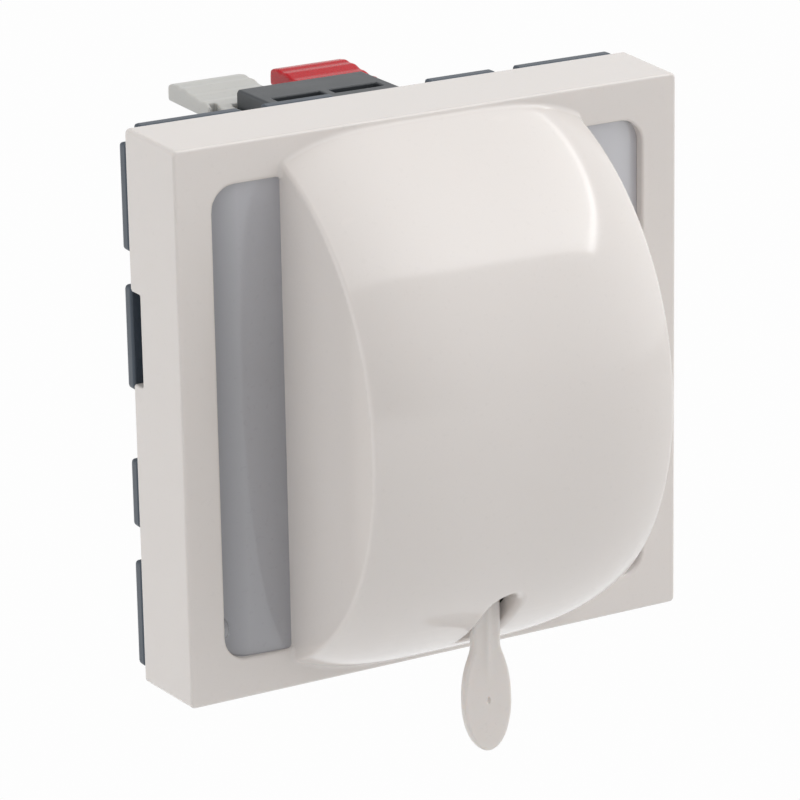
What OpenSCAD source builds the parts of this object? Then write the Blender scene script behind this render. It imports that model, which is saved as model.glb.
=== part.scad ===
// Pull cord switch for a 45 x 45 mm modular wiring frame.
// A white face with a domed cord housing stands between two light windows.
// Pulling the tab down turns a rocker, which pushes a plunger and closes a
// pair of contacts.  Two levers on top release the push-in wire clamps.
// Axes: +X right, +Z up, +Y into the wall.  The origin is the middle of the
// face, on the back plane of the mounting frame, which rests on the support.
// Parts are drawn from the back edge of the white rim, and seated() moves them.

/* [Face] */
// Width and height of the square face at its back edge
face_w = 45; // [44.8:0.1:45.4]
// Depth of the white rim, from its back edge to the front plane
rim_depth = 7.6; // [7.5:0.1:8]
// Wall thickness of the white cover
cover_wall = 1.6; // [1.5:0.05:1.7]
// How much each side of the rim leans in from back to front
rim_draft = 0.22; // [0:0.02:0.4]

/* [Light windows] */
// Width of the opening that holds both light windows
window_w = 38.3; // [37.5:0.1:38.6]
// Height of that opening
window_h = 38.1; // [37.5:0.1:38.6]
// Radius of the windows' slightly convex front
window_curve = 32; // [30:1:60]

/* [Dome] */
// Width of the domed cord housing
dome_w = 26.5; // [26:0.1:27]
// Radius of the dome's curve at its side edges
dome_r = 21.56; // [21.4:0.02:21.8]
// Extra radius of the dome at its middle
dome_crown = 1.65; // [1.4:0.05:1.7]
// Distance of the dome's axis behind the rim's back edge
dome_axis_y = 0.3; // [0.1:0.05:0.5]

/* [Cord] */
// Distance of the pull tab in front of the rim's back edge
tab_reach = 14.6; // [14.4:0.1:14.8]
// Width of the tab's neck
neck_w = 2.5; // [2.2:0.1:2.6]
// Width of the tab's paddle
paddle_w = 4.35; // [4:0.05:4.8]
// Depth of the paddle's lowest point below the middle of the face
tab_low = 27.9; // [27:0.1:29]
// Radius of the small moulding mark in the middle of the paddle
mark_r = 0.2; // [0.1:0.05:0.3]

/* [Mechanism] */
// Whole angle that the rocker turns through in one pull
swing = 24; // [18:1:24]
// Distance from the rocker's pin to its plunger finger
finger_len = 6; // [5.8:0.1:6.1]
// Travel of the contact bridge
bridge_travel = 1.9; // [1.8:0.05:1.9]
// Depth of the mechanism behind the rim's back edge
body_depth = 22; // [21.9:0.1:24]
// Depth of the mechanism's wide front part
wide_depth = 10; // [8:0.5:11]
// Width of the mechanism's narrow rear part
rear_w = 21.2; // [18:0.2:22]

/* [Terminals] */
// Distance of each wire from the middle
wire_x = 3.3; // [3.3:0.05:3.4]
// Radius of each wire entry
wire_entry_r = 1.4; // [1.2:0.05:1.4]
// Width of each release lever
lever_w = 6.65; // [6.4:0.05:6.8]

/* [Hidden] */
$fn = 64;

front_y = -rim_depth;
plate_back = front_y + cover_wall;
gap = 0.05;
half = face_w / 2;
inner_half = half - cover_wall;

dome_half = dome_w / 2;
dome_edge = 0.3;
rim_corner = 0.4;

notch_r = 1.45;
notch_top = -13.85;

flange_back = 1.1;
collar_half = inner_half - 0.1;
key_z = [2.3, 9.55];
corner_gap = 1.25;

pivot_y = -3.1;
pivot_z = -3;
arm_len = (tab_reach + pivot_y) / cos(swing / 2);
hook_z = pivot_z + arm_len * sin(swing / 2);
tab_thick = 0.8;
hook_r = 0.7;

plunger_z = -9;
stem_r = 1.5;
stem_thin_r = 1;
tip_r = 1;
plunger_front = pivot_y - finger_len * sin(swing / 2) + tip_r + gap;
head_back = plunger_front + 1.2;
guide_front = 3;
guide_back = 4.5;
shoulder_y = 5.4;
bridge_y = 8.4;
bridge_t = 0.6;
contact_x = 5.2;
contact_h = 0.8;
fixed_face = bridge_y + bridge_t + contact_h + bridge_travel + gap;
busbar_y = 12.5;
busbar_t = 0.7;

housing_x = 16.2;
housing_z = 14.7;
housing_wall = 1.6;
housing_flange = [38, 36.8];
housing_flange_y = [-1.5, -0.05];
screw_x = 17.4;
screw_z = 16.4;
board_y = [-2.55, -1.55];

wire_z = 10.5;
busbar_top = [11.9, 12.6];
block_half = 5.75;
block_y = [1.15, 13.9];
block_z = [14.75, 20.35];
lever_pivot = [12.6, 16.4];
lever_gap = 1.4;
pillar_half = 1.55;
wing_x = 7.05;
pin_r = 0.6;

// --- shared shapes -------------------------------------------------------

module seated()
    translate([0, -flange_back, 0])
        children();

module box(x, y, z)
    translate([x[0], y[0], z[0]])
        cube([x[1] - x[0], y[1] - y[0], z[1] - z[0]]);

// Extrudes a shape drawn in X and Z between two values of Y.
module along_y(y)
    translate([0, y[1], 0])
        rotate([90, 0, 0])
            linear_extrude(y[1] - y[0])
                children();

// Extrudes a shape drawn in Y and Z between two values of X.
module along_x(x)
    translate([x[0], 0, 0])
        rotate([90, 0, 90])
            linear_extrude(x[1] - x[0])
                children();

module rod_y(r, y, x, z)
    translate([x, y[1], z])
        rotate([90, 0, 0])
            cylinder(r = r, h = y[1] - y[0]);

module rod_x(r, x, y, z)
    translate([x[0], y, z])
        rotate([0, 90, 0])
            cylinder(r = r, h = x[1] - x[0]);

module rounded_rect(w, h, r) {
    square([w - 2 * r, h], center = true);
    square([w, h - 2 * r], center = true);
    for (sx = [-1, 1], sz = [-1, 1])
        translate([sx * (w / 2 - r), sz * (h / 2 - r)])
            circle(r);
}

module both_sides() {
    children();
    mirror([1, 0, 0])
        children();
}

module four_corners(x, z) {
    for (sx = [-1, 1], sz = [-1, 1])
        translate([sx * x, 0, sz * z])
            children();
}

// A helix of round wire around the Y axis, as one closed mesh.
module coil(mean_r, wire_r, y, turns) {
    sides = 8;
    steps = 22;
    count = turns * steps;
    pitch = (y[1] - y[0] - 2 * wire_r) / turns;
    ring = [
        for (i = [0:count], j = [0:sides - 1])
            let (a = 360 * i / steps, b = 360 * j / sides,
                 r = mean_r + wire_r * cos(b))
            [r * cos(a), y[0] + wire_r + pitch * i / steps + wire_r * sin(b), r * sin(a)]
    ];
    sleeve = [
        for (i = [0:count - 1], j = [0:sides - 1])
            let (k = (j + 1) % sides)
            [i * sides + j, (i + 1) * sides + j, (i + 1) * sides + k, i * sides + k]
    ];
    start_cap = [for (j = [0:sides - 1]) j];
    end_cap = [for (j = [sides - 1:-1:0]) count * sides + j];
    polyhedron(points = ring, faces = concat(sleeve, [start_cap, end_cap]));
}

// --- white cover, light windows and cord guide ---------------------------

module rim_layer(y, inset)
    along_y([y - 0.01, y])
        rounded_rect(face_w - 2 * inset, face_w - 2 * inset, rim_corner, $fn = 32);

module rim_outside()
    hull() {
        rim_layer(0, 0);
        rim_layer(front_y + 0.27, rim_draft * 0.96);
        rim_layer(front_y + 0.09, rim_draft + 0.07);
        rim_layer(front_y + 0.01, rim_draft + 0.25);
    }

function dome_radius(x) = dome_r + dome_crown * (1 - pow(abs(x) / dome_half, 4));

// Solid of revolution around X.  Behind the front plane it stays within the rim.
module dome_solid(shrink, back) {
    edge = max(dome_edge - shrink, 0.1);
    side = dome_half - shrink;
    edge_r = dome_radius(side - edge) - shrink;
    middle = [
        for (i = [-10:10])
            let (x = (side - edge) * i / 10)
            [dome_radius(x) - shrink, x]
    ];
    right = [
        for (a = [18:18:90])
            [edge_r - edge + edge * cos(a), side - edge + edge * sin(a)]
    ];
    left = [
        for (a = [90:-18:18])
            [edge_r - edge + edge * cos(a), -side + edge - edge * sin(a)]
    ];
    intersection() {
        translate([0, dome_axis_y, 0])
            rotate([0, 90, 0])
                rotate_extrude($fn = 180)
                    polygon(concat([[0, -side]], left, middle, right, [[0, side]]));
        union() {
            box([-20, 20], [-30, front_y + gap], [-25, 25]);
            box([-20, 20], [-30, back], [1 - inner_half, inner_half - 1]);
        }
    }
}

// Arched slot in the underside of the dome, where the tab comes out.
module cord_notch()
    along_y([-30, -12]) {
        translate([0, notch_top - notch_r])
            circle(notch_r);
        translate([-notch_r, -30])
            square([2 * notch_r, 30 + notch_top - notch_r]);
    }

module bush_ribs()
    intersection() {
        dome_solid(cover_wall / 2, plate_back);
        difference() {
            both_sides()
                box([3.25, 4.25], [-18, -11.8], [-19, -10.6]);
            box([-3.95, 3.95], [-16.45, -12.3], [-13.45, -11.35]);
        }
    }

module front_cover() seated()
    color([0.93, 0.91, 0.89])
        difference() {
            union() {
                difference() {
                    rim_outside();
                    along_y([front_y - 1, plate_back + 1])
                        rounded_rect(window_w, window_h, 2);
                    box([-inner_half, inner_half], [plate_back, 1], [-inner_half, inner_half]);
                }
                difference() {
                    dome_solid(0, plate_back);
                    dome_solid(cover_wall, plate_back + 1);
                }
                bush_ribs();
                both_sides()
                    box([inner_half - 0.5, inner_half + 0.1], [-2.6, -1.6], [-3, 3]);
            }
            cord_notch();
            intersection() {
                dome_solid(cover_wall, plate_back + 1);
                box([-20, 20], [front_y - 1, plate_back + 1], [-25, 25]);
            }
            both_sides()
                box([inner_half - 1, half + 1], [-1.45, 1], [key_z[0] - 0.1, key_z[1] + 0.1]);
        }

module light_diffuser() seated()
    color([0.72, 0.73, 0.76]) {
        flange = [plate_back + gap, plate_back + 1.2];
        // Each window is gently convex, highest beside the dome.
        intersection() {
            along_y([front_y, flange[0] + 0.1])
                difference() {
                    rounded_rect(window_w - 0.1, window_h - 0.1, 1.9);
                    square([2 * (dome_half + 0.1), face_w], center = true);
                }
            both_sides()
                intersection() {
                    box([0, 25], [-10, 0], [-25, 25]);
                    translate([dome_half, front_y + 0.3 + window_curve, -25])
                        cylinder(r = window_curve, h = 50);
                }
        }
        along_y(flange)
            difference() {
                rounded_rect(2 * inner_half - 0.1, 2 * inner_half - 0.1, 1);
                square([24, 37], center = true);
            }
    }

module cord_bush() seated()
    color([0.9, 0.9, 0.88])
        difference() {
            union() {
                box([-3.2, 3.2], [-16.4, -12.4], [-14.2, -10.8]);
                box([-3.9, 3.9], [-16.4, -12.4], [-13.4, -11.4]);
            }
            box([-neck_w / 2 - 0.15, neck_w / 2 + 0.15],
                [-tab_reach - tab_thick / 2 - 0.2, -tab_reach + tab_thick / 2 + 0.2], [-20, 0]);
            // Keeps the front corner clear of the curved dome wall.
            translate([0, -16.4, -14.2])
                rotate([45, 0, 0])
                    cube([10, 1.3, 1.3], center = true);
        }

// --- dark mounting frame -------------------------------------------------

// Gaps in the frame's outer edge, as start and end along each side.
top_gaps = [[-12.4, -10.3], [-4.3, 4.3], [10.3, 12.4]];
side_gaps = [[10, 12.7], [-4.1, 1.6], [-12.5, -9.7]];
edge_gap_depth = 1.1;

module flange_outline()
    difference() {
        rounded_rect(face_w, face_w, 1);
        for (g = top_gaps, s = [-1, 1])
            translate([g[0], s > 0 ? half - edge_gap_depth : -half])
                square([g[1] - g[0], edge_gap_depth]);
        for (g = side_gaps, s = [-1, 1])
            translate([s > 0 ? half - edge_gap_depth : -half, g[0]])
                square([edge_gap_depth, g[1] - g[0]]);
        // The strips stop short of the corners.
        for (sx = [-1, 1], sz = [-1, 1])
            translate([sx * half, sz * half])
                square(2 * corner_gap, center = true);
    }

// Springy hook that holds the frame in the wall support.
module support_hook()
    along_x([-2.5, 2.5])
        polygon([[flange_back - 0.1, -0.6], [6.4, -0.6], [6.4, 0.3], [4.9, 0.9],
                 [4.2, 1.2], [3.7, 1.2], [3.3, 0.6], [flange_back - 0.1, 0.6]]);

module mounting_frame() seated()
    color([0.2, 0.25, 0.33])
        difference() {
            union() {
                along_y([0.02, flange_back])
                    flange_outline();
                along_y([plate_back + 1.2 + gap, 0.1])
                    difference() {
                        rounded_rect(2 * collar_half, 2 * collar_half, 1);
                        rounded_rect(2 * collar_half - 2.8, 2 * collar_half - 2.8, 0.6);
                    }
                both_sides()
                    box([collar_half - 0.5, half - 1.3], [-1.4, 0.5], key_z);
                four_corners(screw_x, screw_z)
                    rod_y(2.1, [flange_back - 0.1, 5.6], 0, 0);
                for (sx = [-1, 1])
                    translate([sx * 16.5, 0, 19.6])
                        support_hook();
                for (sx = [-1, 1])
                    translate([sx * 16.5, 0, -19.6])
                        mirror([0, 0, 1])
                            support_hook();
            }
            along_y([-1, 3])
                rounded_rect(2 * housing_x + 0.2, 2 * housing_z + 0.2, 1.2);
            // Room for the terminal cover above the housing.
            box([-block_half - 0.1, block_half + 0.1], [-0.05, 3], [0, block_z[1] + 0.1]);
            four_corners(screw_x, screw_z)
                rod_y(0.85, [-1, 5], 0, 0);
            both_sides()
                box([collar_half - 2, half], [-2.8, -1.42], [-3.2, 3.2]);
        }

// --- rear housing, terminal cover and screws -----------------------------

module rear_housing() seated()
    color([0.24, 0.27, 0.31])
        difference() {
            union() {
                difference() {
                    union() {
                        along_y(housing_flange_y)
                            rounded_rect(housing_flange[0], housing_flange[1], 2);
                        along_y([housing_flange_y[0], wide_depth])
                            rounded_rect(2 * housing_x, 2 * housing_z, 1.1);
                        along_y([housing_flange_y[0], body_depth])
                            rounded_rect(rear_w, 2 * housing_z, 1.1);
                    }
                    box([-housing_x + housing_wall, housing_x - housing_wall],
                        [-5, wide_depth - housing_wall],
                        [-housing_z + housing_wall, housing_z - housing_wall]);
                    box([-rear_w / 2 + housing_wall, rear_w / 2 - housing_wall],
                        [-5, body_depth - housing_wall],
                        [-housing_z + housing_wall, housing_z - housing_wall]);
                }
                // Wall that guides the plunger, with two ears for the rocker pin.
                box([-15, 15], [guide_front, guide_back], [-14, -0.5]);
                both_sides()
                    box([5, 6.4], [-5.3, guide_front + 0.1], [-5.4, -0.6]);
                // Blocks behind the fixed contacts.
                both_sides()
                    box([3.2, 7.2], [busbar_y + busbar_t + gap, body_depth - 1], [-14, -5.4]);
                // Shelves under the wire clamps.
                both_sides()
                    box([wire_x - 1.9, wire_x + 1.9], [13.4, body_depth - 1], [5.4, 6.9]);
                // Pads above the terminal plates.
                both_sides()
                    box([wire_x - 1.8, wire_x + 1.8], [17, 19.5], [busbar_top[1] + gap, 14]);
            }
            rod_x(1.02, [-10, 10], pivot_y, pivot_z);
            rod_y(stem_r + 0.06, [0, 6], 0, plunger_z);
            four_corners(screw_x, screw_z)
                rod_y(1.1, [-3, 1], 0, 0);
            both_sides()
                rod_y(wire_entry_r, [body_depth - 3, body_depth + 1], wire_x, wire_z);
            // Windows for the levers' noses and the terminal cover's hook.
            both_sides()
                box([wire_x - 1.3, wire_x + 1.3], [12.8, 16.2], [13, 16]);
            box([-1.3, 1.3], [3.9, 8.1], [12.9, 16]);
        }

module terminal_cover() seated()
    color([0.33, 0.36, 0.39])
        difference() {
            union() {
                difference() {
                    along_x([-block_half, block_half])
                        polygon([[block_y[0], block_z[0]], [block_y[1], block_z[0]],
                                 [block_y[1], block_z[1] - 0.2], [block_y[1] - 0.2, block_z[1]],
                                 [block_y[0] + 0.8, block_z[1]], [block_y[0], block_z[1] - 0.8]]);
                    box([-block_half + 0.8, block_half - 0.8], [block_y[0] + 1, 20],
                        [block_z[0] - 1, block_z[1] - 0.8]);
                }
                box([-pillar_half, pillar_half], [10.4, block_y[1]], [block_z[0], block_z[1] - 0.4]);
                box([-1.2, 1.2], [4, 8], [12, block_z[1] - 0.4]);
                box([-1.2, 1.2], [7, 8.8], [12, 12.9]);
            }
            both_sides()
                rod_x(pin_r + 0.02, [0.9, 10], lever_pivot[0], lever_pivot[1]);
            // Two long slots in the roof.
            both_sides()
                box([0.4, 4.8], [8.4, 9.7], [block_z[1] - 2, block_z[1] + 1]);
            // The hook bends in at its foot to pass through the housing.
            box([-2, 2], [8.15, 9], [12.85, 14.8]);
        }

module housing_screw() {
    difference() {
        union() {
            rod_y(1.9, [board_y[0] - 1, board_y[0]], 0, 0);
            rod_y(0.8, [board_y[0] - 0.1, 4.4], 0, 0);
        }
        for (a = [0, 90])
            rotate([0, a, 0])
                box([-1.1, 1.1], [board_y[0] - 1.1, board_y[0] - 0.4], [-0.2, 0.2]);
    }
}

module housing_screws() seated()
    color([0.75, 0.75, 0.77])
        four_corners(screw_x, screw_z)
            housing_screw();

// --- release levers and wire clamps --------------------------------------

// Outline of the finger paddle, seen from the side.
paddle_outline = [
    [14.2, 18], [21.8, 18.12], [22, 18.35], [21.6, 19.4], [21.2, 19.56], [20.2, 19.66],
    [19.2, 19.6], [16.6, 19.15], [14.2, 19]
];

module lever_right()
    difference() {
        union() {
            along_x([lever_gap, lever_gap + lever_w])
                polygon(paddle_outline);
            // Grip wing beside the terminal cover.
            box([block_half + 0.2, wing_x], [11, 14.3], [18.1, 19]);
            // Tongue that turns on the pin.
            along_x([wire_x - 1.4, wire_x + 1.4]) {
                translate(lever_pivot)
                    circle(1.3);
                polygon([[11.3, 16.4], [13.9, 16.4], [14.3, 18], [14.3, 19],
                         [12.2, 19], [11.3, 18.2]]);
            }
            // Nose that presses the wire clamp open.
            along_x([wire_x - 1.1, wire_x + 1.1])
                polygon([[12.8, 15.6], [13.6, 17.4], [15.7, 15], [15.7, 12], [15.4, 11.7],
                         [14.9, 11.7], [14.7, 11.9], [14.6, 13.6]]);
        }
        rod_x(pin_r + 0.04, [0, 10], lever_pivot[0], lever_pivot[1]);
        // Finger notch in the paddle's front edge.
        box([wing_x, wing_x + 0.65], [14, 15], [17, 20]);
    }

module white_release_lever() seated()
    color([0.88, 0.88, 0.86])
        mirror([1, 0, 0])
            lever_right();

module red_release_lever() seated()
    color([0.78, 0.12, 0.14])
        lever_right();

module lever_pins() seated()
    color([0.72, 0.72, 0.74])
        both_sides()
            rod_x(pin_r, [1, block_half - 0.1], lever_pivot[0], lever_pivot[1]);

// Thin strip that follows a list of [y, z] points.
function strip_side(p, t, s) = [
    for (i = [0:len(p) - 1])
        let (a = p[max(i - 1, 0)], b = p[min(i + 1, len(p) - 1)],
             d = b - a, n = [-d[1], d[0]] / norm(d))
        p[i] + s * t / 2 * n
];
function reversed(p) = [for (i = [len(p) - 1:-1:0]) p[i]];

module clamp_spring() {
    spring_t = 0.3;
    loop_r = 0.9;
    loop = [18.2, 7.1 + loop_r];
    path = concat(
        [[14.2, 7.1], [16, 7.1]],
        [for (a = [-90:15:90]) loop + loop_r * [cos(a), sin(a)]],
        [[14.2, 11.65], [13.9, 11.6]]
    );
    along_x([wire_x - 1.5, wire_x + 1.5])
        polygon(concat(strip_side(path, spring_t, 1), reversed(strip_side(path, spring_t, -1))));
}

module white_clamp_spring() seated()
    color([0.78, 0.79, 0.8])
        mirror([1, 0, 0])
            clamp_spring();

module red_clamp_spring() seated()
    color([0.78, 0.79, 0.8])
        clamp_spring();

// --- current path --------------------------------------------------------

module busbar_right()
    difference() {
        union() {
            box([wire_x - 1.8, wire_x + 1.8], [busbar_y, 19.5], busbar_top);
            box([wire_x - 1.8, wire_x + 1.8], [busbar_y, busbar_y + busbar_t], [-6, busbar_top[1]]);
            box([wire_x - 1.8, 7], [busbar_y, busbar_y + busbar_t], [-11, -5]);
        }
        box([wire_x - 1.2, wire_x + 1.2], [13.5, 15.9], [11, 13]);
        rod_y(0.52, [busbar_y - 1, busbar_y + 2], contact_x, plunger_z);
    }

module right_busbar() seated()
    color([0.83, 0.66, 0.3])
        busbar_right();

module left_busbar() seated()
    color([0.83, 0.66, 0.3])
        mirror([1, 0, 0])
            busbar_right();

module fixed_contacts() seated()
    color([0.85, 0.85, 0.86])
        both_sides() {
            rod_y(1.2, [fixed_face, busbar_y], contact_x, plunger_z);
            rod_y(0.5, [busbar_y - 0.1, busbar_y + busbar_t], contact_x, plunger_z);
        }

module contact_bridge() seated()
    color([0.8, 0.5, 0.32])
        difference() {
            box([-6.6, 6.6], [bridge_y, bridge_y + bridge_t], [plunger_z - 1.4, plunger_z + 1.4]);
            rod_y(stem_thin_r + 0.06, [0, 20], 0, plunger_z);
            both_sides()
                rod_y(0.52, [0, 20], contact_x, plunger_z);
        }

module bridge_contacts() seated()
    color([0.85, 0.85, 0.86])
        both_sides() {
            back = bridge_y + bridge_t;
            rod_y(1.1, [back, back + contact_h], contact_x, plunger_z);
            rod_y(0.5, [bridge_y - 0.1, back + 0.1], contact_x, plunger_z);
            rod_y(0.8, [bridge_y - 0.3, bridge_y], contact_x, plunger_z);
        }

// --- pull mechanism ------------------------------------------------------

module plunger() seated()
    color([0.9, 0.88, 0.8])
        difference() {
            union() {
                rod_y(2.2, [plunger_front, head_back], 0, plunger_z);
                rod_y(stem_r, [plunger_front, shoulder_y], 0, plunger_z);
                rod_y(stem_thin_r, [shoulder_y - 0.1, 10.2], 0, plunger_z);
            }
            // Groove for the retaining ring.
            difference() {
                rod_y(2, [9.04, 9.56], 0, plunger_z);
                rod_y(0.78, [9, 9.6], 0, plunger_z);
            }
        }

module retaining_ring() seated()
    color([0.7, 0.7, 0.72])
        along_y([9.05, 9.55])
            translate([0, plunger_z])
                difference() {
                    circle(1.7);
                    circle(0.8);
                    translate([-0.6, -2.5])
                        square([1.2, 2.5]);
                }

module contact_spring() seated()
    color([0.76, 0.77, 0.78])
        translate([0, 0, plunger_z])
            coil(1.36, 0.2, [shoulder_y + 0.03, bridge_y - 0.03], 4);

module return_spring() seated()
    color([0.76, 0.77, 0.78])
        translate([0, 0, plunger_z])
            coil(1.9, 0.24, [head_back + 0.03, guide_front - 0.03], 4);

// Drawn with its arm level, then turned up by half of its swing.
module pull_rocker() seated()
    color([0.86, 0.86, 0.84])
        translate([0, pivot_y, pivot_z])
            rotate([-swing / 2, 0, 0])
                difference() {
                    union() {
                        rod_x(2.2, [-4.6, 4.6], 0, 0);
                        both_sides()
                            along_x([2, 3.5])
                                polygon([[0, 2.1], [-arm_len - 1.7, 0.7],
                                         [-arm_len - 1.9, 0.2], [-arm_len - 1.7, -1.6],
                                         [-4, -2.1], [0, -2.1]]);
                        box([-3.4, 3.4], [-7.4, 0], [-0.7, 0.7]);
                        box([-1.6, 1.6], [-1.4, 0.4], [-finger_len, -1]);
                        rod_x(tip_r, [-1.6, 1.6], 0, -finger_len);
                    }
                    rod_x(1.04, [-10, 10], 0, 0);
                    // Cradle for the tab's hook, with room for the arm's arc.
                    along_x([-10, 10])
                        translate([-arm_len + 0.13, 0]) {
                            translate([-0.95, 0])
                                square([1.9, 4]);
                            translate([-0.95, -hook_r - 0.05])
                                square([1.9, hook_r + 0.1]);
                        }
                }

module rocker_pin() seated()
    color([0.72, 0.72, 0.74]) {
        rod_x(1, [-6.9, 6.9], pivot_y, pivot_z);
        rod_x(1.5, [6.5, 7.3], pivot_y, pivot_z);
    }

// Half of the tab's width at height z: a neck that swells into an oval.
function neck_half(z) = z > -tab_low + 4.1 ? neck_w / 2 : 0;
function oval_half(z) =
    let (u = (z + tab_low - 4.1) / 4.1, p = u > 0 ? 2.4 : 2)
    abs(u) < 1 ? paddle_w / 2 * pow(1 - pow(abs(u), p), 1 / p) : 0;
function tab_half(z) =
    let (a = max(neck_half(z), oval_half(z)), b = min(neck_half(z), oval_half(z)))
    a + 0.12 * exp(-pow((a - b) / 0.5, 2)) * (b > 0 ? 1 : 0);

module pull_tab() seated()
    color([0.87, 0.86, 0.84])
        difference() {
            union() {
                rod_x(hook_r, [-3.3, 3.3], -tab_reach, hook_z);
                along_y([-tab_reach - tab_thick / 2, -tab_reach + tab_thick / 2]) {
                    oval_top = -tab_low + 8.2;
                    translate([-neck_w / 2, oval_top])
                        square([neck_w, hook_z - oval_top]);
                    oval = [
                        for (a = [0:6:180])
                            let (z = -tab_low + 4.1 + 4.1 * cos(a))
                            [max(tab_half(z), 0), z]
                    ];
                    polygon(concat(oval, [for (p = reversed(oval)) [-p[0], p[1]]]));
                }
            }
            rod_y(mark_r, [-tab_reach - 2, -tab_reach - tab_thick / 2 + 0.25], 0, -tab_low + 4.2);
        }

// --- light board ---------------------------------------------------------

led_x = 16.2;

module circuit_board() seated()
    color([0.14, 0.4, 0.22])
        along_y(board_y)
            difference() {
                rounded_rect(36.6, 35.2, 1.5);
                translate([-8, -13.2])
                    square([16, 17.4]);
                for (sx = [-1, 1], sz = [-1, 1])
                    translate([sx * screw_x, sz * screw_z])
                        circle(1.1);
                for (sx = [-1, 1])
                    translate([sx * wire_x, 6.5])
                        circle(0.46);
            }

module indicator_leds() seated()
    color([0.95, 0.93, 0.75])
        both_sides() {
            box([led_x - 1, led_x + 1], [board_y[0] - 0.7, board_y[0]], [-1.4, 1.4]);
            intersection() {
                translate([led_x, board_y[0] - 0.5, 0])
                    sphere(0.9);
                box([led_x - 1, led_x + 1], [board_y[0] - 2, board_y[0] - 0.6], [-1, 1]);
            }
        }

module board_resistors() seated()
    color([0.15, 0.15, 0.16])
        both_sides()
            box([10.4, 12.4], [board_y[0] - 0.55, board_y[0]], [8.4, 9.7]);

module board_leads() seated()
    color([0.8, 0.78, 0.7])
        both_sides()
            rod_y(0.4, [board_y[0] - 0.5, busbar_y], wire_x, 6.5);

front_cover();
light_diffuser();
cord_bush();
mounting_frame();
rear_housing();
housing_screws();
terminal_cover();
white_release_lever();
red_release_lever();
lever_pins();
white_clamp_spring();
red_clamp_spring();
left_busbar();
right_busbar();
fixed_contacts();
contact_bridge();
bridge_contacts();
contact_spring();
plunger();
retaining_ring();
return_spring();
pull_rocker();
rocker_pin();
pull_tab();
circuit_board();
indicator_leds();
board_resistors();
board_leads();
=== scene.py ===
"""Looks of the pull cord switch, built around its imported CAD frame.

The moulded parts are meshed from distance fields, so that every edge has its
real small radius and every junction its fillet.  Lengths in the fields are in
millimetres: +X right, +Y into the wall, +Z up, with y = 0 on the back edge of
the white rim.  The CAD frame's origin lies SEAT behind that edge.
"""

import math

import bpy
import numpy as np
from mathutils import Matrix, Vector


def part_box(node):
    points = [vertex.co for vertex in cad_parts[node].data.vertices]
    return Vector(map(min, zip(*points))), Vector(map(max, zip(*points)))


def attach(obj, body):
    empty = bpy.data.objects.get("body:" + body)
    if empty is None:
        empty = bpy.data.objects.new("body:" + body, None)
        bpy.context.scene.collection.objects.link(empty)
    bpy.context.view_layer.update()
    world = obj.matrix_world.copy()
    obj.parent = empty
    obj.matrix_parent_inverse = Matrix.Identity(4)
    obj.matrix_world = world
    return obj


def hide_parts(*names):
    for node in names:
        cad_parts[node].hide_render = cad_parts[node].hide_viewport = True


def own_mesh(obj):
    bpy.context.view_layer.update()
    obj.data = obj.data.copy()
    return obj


MM = 0.001
SEAT = 1.1

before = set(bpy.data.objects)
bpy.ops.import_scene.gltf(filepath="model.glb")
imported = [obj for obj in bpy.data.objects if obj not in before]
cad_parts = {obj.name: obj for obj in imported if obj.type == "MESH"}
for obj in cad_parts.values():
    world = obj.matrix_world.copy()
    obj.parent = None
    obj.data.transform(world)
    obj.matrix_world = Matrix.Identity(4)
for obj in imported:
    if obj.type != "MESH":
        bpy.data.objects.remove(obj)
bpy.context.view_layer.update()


def cad_mm(node):
    """Lowest and highest corner of a CAD node, in the fields' millimetres."""
    low, high = (np.array(c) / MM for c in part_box(node))
    low[1] += SEAT
    high[1] += SEAT
    return low, high


# --- distance fields -------------------------------------------------------


def round_and(a, b, r):
    """Where both fields are inside, with the shared edge rounded to radius r."""
    outside = np.hypot(np.maximum(a + r, 0), np.maximum(b + r, 0))
    return np.minimum(np.maximum(a, b), -r) + outside


def round_or(a, b, r):
    """Where either field is inside, with a fillet of radius r in the corner."""
    return -round_and(-a, -b, r)


def carve(a, b, r):
    """Field a with b taken away, and the cut's edge rounded to radius r."""
    return round_and(a, -b, r)


def cut(a, b):
    """Field a with b taken away, and a sharp edge."""
    return np.maximum(a, -b)


def rounded_rect(u, v, half_u, half_v, r):
    """Distance to a rectangle with corner radius r, centred on the origin."""
    du = np.abs(u) - half_u + r
    dv = np.abs(v) - half_v + r
    return np.minimum(np.maximum(du, dv), 0) + np.hypot(np.maximum(du, 0), np.maximum(dv, 0)) - r


def span(t, low, high):
    """Distance to the slab between two values of a coordinate."""
    return np.abs(t - (low + high) / 2) - (high - low) / 2


def block(x, y, z, low, high, r=0.12):
    """Distance to a box between two corners, with every edge rounded."""
    d = [span(t, a, b) + r for t, a, b in zip((x, y, z), low, high)]
    inside = np.minimum(np.maximum(np.maximum(d[0], d[1]), d[2]), 0)
    outside = np.sqrt(sum(np.maximum(t, 0) ** 2 for t in d))
    return inside + outside - r


def disc(u, v, r):
    """Distance to an endless round rod through the origin of u and v."""
    return np.hypot(u, v) - r


def polyline(u, v, points):
    """Distance to an open line through the points."""
    points = [np.array(p, float) for p in points]
    nearest = np.full(np.broadcast(u, v).shape, 1e9)
    for a, b in zip(points, points[1:]):
        e = b - a
        t = np.clip(((u - a[0]) * e[0] + (v - a[1]) * e[1]) / (e @ e), 0, 1)
        nearest = np.minimum(nearest, (u - a[0] - t * e[0]) ** 2 + (v - a[1] - t * e[1]) ** 2)
    return np.sqrt(nearest)


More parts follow.
